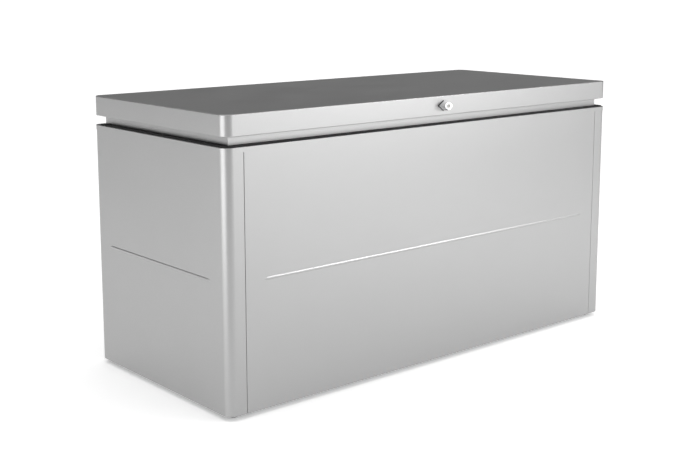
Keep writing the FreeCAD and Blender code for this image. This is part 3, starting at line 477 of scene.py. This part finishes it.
def diamondRadius(angle, wide, tall, corner):
    # middle to outline of a diamond with round corners, from its half width and half height
    c, s = abs(math.cos(angle)), abs(math.sin(angle))
    across, up = wide - corner, tall - corner
    slant = math.hypot(across, up)
    out = (up / slant, across / slant)
    reach = (across * up / slant + corner) / (out[0] * c + out[1] * s)
    if reach * s < corner * out[1]:
        return across * c + math.sqrt(corner ** 2 - (across * s) ** 2)
    if reach * c < corner * out[0]:
        return up * s + math.sqrt(corner ** 2 - (up * c) ** 2)
    return reach


def halfSizes(node):
    low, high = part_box(node)
    return [(high[axis] - low[axis]) / 2 for axis in (0, 2)]


def lockRing(y, radii, turns):
    return [(lockPlace[0] + r * math.cos(a), y, lockPlace[1] + r * math.sin(a)) for r, a in zip(radii, turns)]


knobGrip = {
    "corner": 0.0025,                      # the diamond base's rounded corners
    "chamfer": 0.0004,                     # round its back
    "face": (0.0162, 0.0126, 0.007),       # the front's half width, half height and corners
    "rim": 0.0018,                         # upright foot of the base
    "edge": 0.0012,                        # round front edge
    "dish": 0.0009,                        # how far each facet is hollowed for the fingers
    "bore": 0.00705, "boreDepth": 0.014,   # the hole that the key plug sits in
    "collar": (0.0022, 0.0016),            # the raised ring round it, beyond the bore
    "step": 0.0003,                        # how high it stands
    "sides": 128, "steps": 14,
}


def lockKnob():
    # die-cast grip: a diamond foot that draws in to a rounder face round the key plug
    g = knobGrip
    wide, tall = halfSizes("lock_knob")
    back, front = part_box("lock_knob")[1][1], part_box("lock_knob")[0][1]
    reach = back - front
    turns = [2 * math.pi * i / g["sides"] for i in range(g["sides"])]

    def ring(depth, blend, inset=0.0):
        radii = []
        for a in turns:
            foot = diamondRadius(a, wide, tall, g["corner"])
            hollow = g["dish"] * math.sin(math.pi * blend) * math.sin(2 * a) ** 2
            radii.append(foot + (diamondRadius(a, *g["face"]) - foot) * blend - hollow - inset)
        return lockRing(back - depth, radii, turns)

    rim, chamfer = g["rim"], g["chamfer"]
    rings = [ring(0, 0, chamfer), ring(chamfer, 0), ring(rim - 0.0003, 0), ring(rim, 0, 0.0001)]
    tapered = reach - g["edge"] - rim
    rings += [ring(rim + tapered * s / g["steps"], s / g["steps"]) for s in range(1, g["steps"] + 1)]
    for height, out in arc(reach - g["edge"], -g["edge"], g["edge"], 15, 90, 5):
        rings.append(ring(height, 1, -out))
    bore, step = g["bore"], g["step"]
    for depth, radius in ((0, bore + g["collar"][0]), (step, bore + g["collar"][1]), (step, bore + step),
                          (2 * step, bore), (g["boreDepth"], bore)):
        rings.append(lockRing(front + depth, [radius] * g["sides"], turns))
    bm = bmesh.new()
    skin(bm, rings)
    newPiece("lockKnobGrip", bm, "knob", "bright_chrome", "lock_knob")


padRubber = {"corner": 0.003, "edge": 0.0011, "tuck": 0.0014, "hole": 0.01025, "sides": 96}


def lockPad():
    # moulded rubber pad between the knob and the lid, with a round outer edge
    p = padRubber
    wide, tall = halfSizes("lock_pad")
    back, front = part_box("lock_pad")[1][1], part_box("lock_pad")[0][1]
    turns = [2 * math.pi * i / p["sides"] for i in range(p["sides"])]
    outline = [diamondRadius(a, wide, tall, p["corner"]) - p["tuck"] for a in turns]
    hole = [p["hole"]] * p["sides"]
    rings = [lockRing(back, hole, turns), lockRing(back, outline, turns)]
    for height, out in arc(back - front - p["edge"], -p["edge"], p["edge"], 0, 90, 6):
        rings.append(lockRing(back - height, [r + out for r in outline], turns))
    rings.append(lockRing(front, hole, turns))
    bm = bmesh.new()
    skin(bm, rings, loop=True)
    newPiece("lockPadRubber", bm, "lid", "black_rubber", "lock_pad")


keySlot = {"depth": 0.003, "deeper": 0.009}      # as in the solid, and how much further a key really goes


def keyPlug():
    # the plug with its key slot as deep as a real one, so that it looks dark
    bm = nodeShape("key_plug")
    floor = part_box("key_plug")[0][1] + keySlot["depth"]
    for vertex in bm.verts:
        if abs(vertex.co.y - floor) < 0.0001:
            vertex.co.y += keySlot["deeper"]
    softened("key_plug", "key", 0.00025, bm=bm)


lockKnob()
lockPad()
keyPlug()
softened("lock_nut", "lid", 0.0005)
softened("cam_nut", "knob", 0.0004)
softened("lock_cam", "knob", 0.0004)
softened("strike_pin", "base", 0.0005)
print("lock modelled")


thread = {"pitch": 0.00125, "depth": 0.00061, "sides": 24, "perTurn": 6}     # M8 coarse


def threaded(bm, place, radius, length):
    # a real helical thread: the radius rises and falls once a pitch, shifted round the stud
    t = thread
    turns = [2 * math.pi * i / t["sides"] for i in range(t["sides"])]
    count = round(length / t["pitch"] * t["perTurn"])
    rings = []
    for row in range(count + 1):
        height = length * row / count
        fade = min(1, (length - height) / t["pitch"])      # run-out at the tip
        ring = []
        for a in turns:
            phase = (height / t["pitch"] - a / (2 * math.pi)) % 1
            crest = 1 - abs(2 * phase - 1)
            r = radius - t["depth"] * (1 - crest * fade) - 0.0003 * (1 - fade)
            ring.append(place @ Vector((r * math.cos(a), r * math.sin(a), height)))
        rings.append(ring)
    skin(bm, rings)


footPad = {
    "radius": 0.013, "top": 0.0152, "edge": 0.004, "topEdge": 0.0012,
    "sole": 0.008,                        # its flat part
    "recess": (0.0062, 0.0058, 0.0005),   # dished top round the stud: two radii and the depth
    "grip": (0.005, 0.012),               # heights between which it is fluted
    "flutes": 16, "flute": 0.0005,
    "stud": 0.004, "core": 0.0035,        # the stud's radius, and where the pad ends inside it
}


def foot(corner):
    # moulded foot: round sole edge, fluted grip to turn it by, and a plated stud moulded in
    f = footPad
    node = "foot_" + corner
    low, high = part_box(node)
    middle = Matrix.Translation(((low[0] + high[0]) / 2, (low[1] + high[1]) / 2, 0))
    top, start, end = f["top"], *f["grip"]
    rim, dish, depth = f["recess"]
    profile = [(0.0, f["core"]), (0.0, f["sole"])]
    profile += arc(f["edge"], f["radius"] - f["edge"], f["edge"], -90, 0, 8)
    profile += [(start, f["radius"]), (end, f["radius"])]
    profile += arc(top - f["topEdge"], f["radius"] - f["topEdge"], f["topEdge"], 0, 90, 5)
    profile += [(top, rim), (top - depth, dish), (top - depth, f["core"])]
    sides = f["flutes"] * 8
    rings = []
    for height, radius in profile:
        ring = []
        for i in range(sides):
            a = 2 * math.pi * i / sides
            fluted = f["flute"] * max(0, math.cos(f["flutes"] * a)) ** 2 if start <= height <= end else 0
            r = radius - fluted
            ring.append(middle @ Vector((r * math.cos(a), r * math.sin(a), height)))
        rings.append(ring)
    bm = bmesh.new()
    skin(bm, rings)
    words = "".join(word.capitalize() for word in corner.split("_"))
    newPiece("footPad" + words, bm, node, "black_plastic", node)
    start = top - 0.001      # the stud begins just inside the pad
    bm = bmesh.new()
    threaded(bm, middle @ Matrix.Translation((0, 0, start)), f["stud"], high[2] - start)
    newPiece("footStud" + words, bm, node, "zinc_plated_steel")


for corner in ("front_left", "front_right", "back_left", "back_right"):
    foot(corner)
softened("foot_nuts", "base", 0.0005)
softened("foot_brackets", "base", 0.0006)
print("feet modelled")


softened("lid_seal", "base", 0.001, segments=3)
print("seal modelled")


spring = {
    "tube": 0.009, "bore": 0.0075, "start": 0.020, "length": 0.300, "wall": 0.003,
    "tubeEnds": (0.0028, 0.0024),      # the lower and upper ends' round edges
    "seat": 0.0062, "core": 0.0035,    # the lower end's flat part, and where it ends inside the eye's neck
    "guide": 0.00415,                  # the hole that the rod runs in
    "crimp": 0.013, "crimpDepth": 0.0006, "crimpStep": 0.0012,
    "rod": 0.004, "rodLength": 0.308, "rodEnd": 0.014, "rodCore": 0.002,
    "piston": 0.00745, "pistonHeight": 0.010, "pistonEdge": 0.0005,
    "eye": 0.008, "eyeHole": 0.00405, "eyeWidth": 0.010, "eyeEdge": 0.0008,
    "neck": 0.0045, "neckStart": 0.006,
    "pivotDrop": 0.016,                # lid bracket's top to its pivot
}


def eyeFitting(bm, place, end):
    # forged eye on the pivot, with its neck running along the spring to the given height
    s = spring
    half, soft = s["eyeWidth"] / 2, s["eyeEdge"]
    across = place @ Matrix.Rotation(math.radians(90), 4, "Y")
    profile = [(-half, s["eyeHole"] + soft / 2), (-half, s["eye"] - soft), (-half + soft, s["eye"]),
               (half - soft, s["eye"]), (half, s["eye"] - soft), (half, s["eyeHole"] + soft / 2),
               (half - soft / 2, s["eyeHole"]), (-half + soft / 2, s["eyeHole"])]
    turned(bm, profile, across, 40, loop=True)
    turned(bm, [(math.copysign(s["neckStart"], end), s["neck"]), (end, s["neck"])], place, 32)


def gasSpring(side):
    # gas spring: powder-coated pressure tube, crimped round its guide, and a ground rod
    s = spring
    wall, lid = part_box("spring_wall_bracket_" + side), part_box("spring_lid_bracket_" + side)
    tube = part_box("gas_tube_" + side)
    x = (tube[0][0] + tube[1][0]) / 2
    lowerY, lowerZ = (wall[0][1] + wall[1][1]) / 2, (wall[0][2] + wall[1][2]) / 2
    upperY, upperZ = (lid[0][1] + lid[1][1]) / 2, lid[1][2] - s["pivotDrop"]
    tilt = math.atan2(lowerY - upperY, upperZ - lowerZ)
    low = Matrix.Translation((x, lowerY, lowerZ)) @ Matrix.Rotation(tilt, 4, "X")
    high = Matrix.Translation((x, upperY, upperZ)) @ Matrix.Rotation(tilt, 4, "X")
    start, end, r = s["start"], s["start"] + s["length"], s["tube"]
    lower, upper = s["tubeEnds"]
    profile = [(start, s["core"]), (start, s["seat"])] + arc(start + lower, r - lower, lower, -80, 0, 6)
    profile += [(end - s["crimp"] + along * s["crimpStep"], r - s["crimpDepth"] * depth)
                for along, depth in ((-2, 0), (-1, 0.55), (0, 1), (1, 0.55), (2, 0))]
    profile += arc(end - upper, r - upper, upper, 0, 90, 6)
    # the guide's dished top, its hole, and the tube's inside down to the lower end
    profile += [(end, 0.0058), (end - 0.0008, 0.0054), (end - 0.0008, 0.0043), (end - 0.0012, s["guide"]),
                (end - s["wall"], s["guide"]), (end - s["wall"], s["bore"]), (start + s["wall"], s["bore"]),
                (start + s["wall"], s["core"])]
    bm = bmesh.new()
    turned(bm, profile, low, 48)
    newPiece("gasTube" + side.capitalize(), bm, "tube_" + side, "black_tube_paint", "gas_tube_" + side)
    bm = bmesh.new()
    eyeFitting(bm, low, start + 0.001)      # its neck ends inside the tube
    newPiece("gasTubeEye" + side.capitalize(), bm, "tube_" + side, "zinc_plated_steel")
    start, wide, edge = -s["rodEnd"] - s["rodLength"], s["piston"], s["pistonEdge"]
    end = start + s["pistonHeight"]
    profile = [(start, s["rodCore"]), (start, wide - edge), (start + edge, wide), (end - edge, wide),
               (end, wide - edge), (end, s["rod"]), (-s["rodEnd"], s["rod"]), (-s["rodEnd"], s["rodCore"])]
    bm = bmesh.new()
    turned(bm, profile, high, 40)
    newPiece("gasRod" + side.capitalize(), bm, "rod_" + side, "ground_steel", "gas_rod_" + side)
    bm = bmesh.new()
    eyeFitting(bm, high, -s["rodEnd"])
    newPiece("gasRodEye" + side.capitalize(), bm, "rod_" + side, "zinc_plated_steel")


for side in ("left", "right"):
    gasSpring(side)
    for part, body in (("spring_wall_bracket_", "base"), ("spring_lid_bracket_", "lid"),
                       ("hinge_body_leaf_", "base"), ("hinge_lid_leaf_", "lid"), ("hinge_pin_", "base"),
                       ("seam_bolts_", "base"), ("seam_nuts_", "base")):
        softened(part + side, body, 0.0006 if part.startswith("spring") else 0.0004)
softened("hinge_rivets_body", "base", 0.0008, segments=3)
softened("hinge_rivets_lid", "lid", 0.0008, segments=3)
print("springs, hinges and fasteners modelled")


floorLook = {
    "half": 150.0,       # m from the middle to each side
    "colour": "#f7f7f7", "roughness": 0.9,
    "lift": 0.28,        # how much of white it adds where it is seen, straight or in a reflection
}


def addFloor():
    # white paper sweep; the lift keeps its far part white, and the box's shadow still shows on it
    mesh = bpy.data.meshes.new("floor")
    half = floorLook["half"]
    corners = [(-half, -half, 0), (half, -half, 0), (half, half, 0), (-half, half, 0)]
    mesh.from_pydata(corners, [], [(0, 1, 2, 3)])
    floor = bpy.data.objects.new("floor", mesh)
    bpy.context.scene.collection.objects.link(floor)
    material, tree, shader, _ = newMaterial("paperSweep")
    shader.inputs["Base Color"].default_value = linear(floorLook["colour"])
    shader.inputs["Roughness"].default_value = floorLook["roughness"]
    shader.inputs["Specular IOR Level"].default_value = 0
    shader.inputs["Emission Color"].default_value = (1, 1, 1, 1)
    ray = addNode(tree, "ShaderNodeLightPath")
    seen = addNode(tree, "ShaderNodeMath", {"operation": "ADD"}, {0: ray.outputs["Is Camera Ray"],
                                                                  1: ray.outputs["Is Glossy Ray"]})
    seen = addNode(tree, "ShaderNodeMath", {"operation": "ADD"}, {0: seen.outputs[0],
                                                                  1: ray.outputs["Is Transmission Ray"]})
    lift = addNode(tree, "ShaderNodeMath", {"operation": "MULTIPLY"}, {0: seen.outputs[0]})
    lift.inputs[1].default_value = floorLook["lift"]
    tree.links.new(lift.outputs[0], shader.inputs["Emission Strength"])
    mesh.materials.append(material)


skyLook = {
    # (height, brightness), from the horizon at 0 to overhead at 1
    "stops": [(0.49, 0.03), (0.50, 0.857), (0.79, 0.857), (0.80, 1.49), (1.0, 1.49)],
}


def addSky():
    # a big overhead light bank over dark studio walls, which the lid mirrors
    world = bpy.data.worlds.new("studio")
    bpy.context.scene.world = world
    world.use_nodes = True
    tree = world.node_tree
    tree.nodes.clear()
    look = addNode(tree, "ShaderNodeTexCoord").outputs["Generated"]
    axes = addNode(tree, "ShaderNodeSeparateXYZ", links={"Vector": look})
    ramp = addNode(tree, "ShaderNodeValToRGB", links={"Fac": axes.outputs["Z"]})
    steps(ramp, skyLook["stops"])
    light = addNode(tree, "ShaderNodeBackground", links={"Color": ramp.outputs["Color"]}, Strength=1.0)
    addNode(tree, "ShaderNodeOutputWorld", links={"Surface": light.outputs[0]})


lamps = {
    # name: degrees round from +X, height and width in m, watts
    "keyRight": (-54, 1.45, 1.4, 46),
    "fillFront": (-75, 1.45, 1.4, 9),
    "fillFrontLow": (-75, 0.5, 1.4, 2),
    "sideLeft": (180, 1.7, 3.0, 1),
    "sideLeftLow": (180, 0.5, 3.0, 23.5),
}
softbox = {"distance": 3.6, "height": 1.0, "aim": (0, 0, 0.5)}      # what all the lamps share


def addLamps():
    for name, (degrees, height, width, power) in lamps.items():
        data = bpy.data.lights.new(name, "AREA")
        data.shape = "RECTANGLE"
        data.size, data.size_y = width, softbox["height"]
        data.energy = power
        lamp = bpy.data.objects.new(name, data)
        turn, away = math.radians(degrees), softbox["distance"]
        lamp.location = (away * math.cos(turn), away * math.sin(turn), height)
        lamp.rotation_euler = (Vector(softbox["aim"]) - lamp.location).to_track_quat("-Z", "Y").to_euler()
        lamp.visible_camera = False
        bpy.context.scene.collection.objects.link(lamp)


addFloor()
addSky()
addLamps()
print("stage lit")

bpy.context.scene.view_settings.view_transform = "Standard"
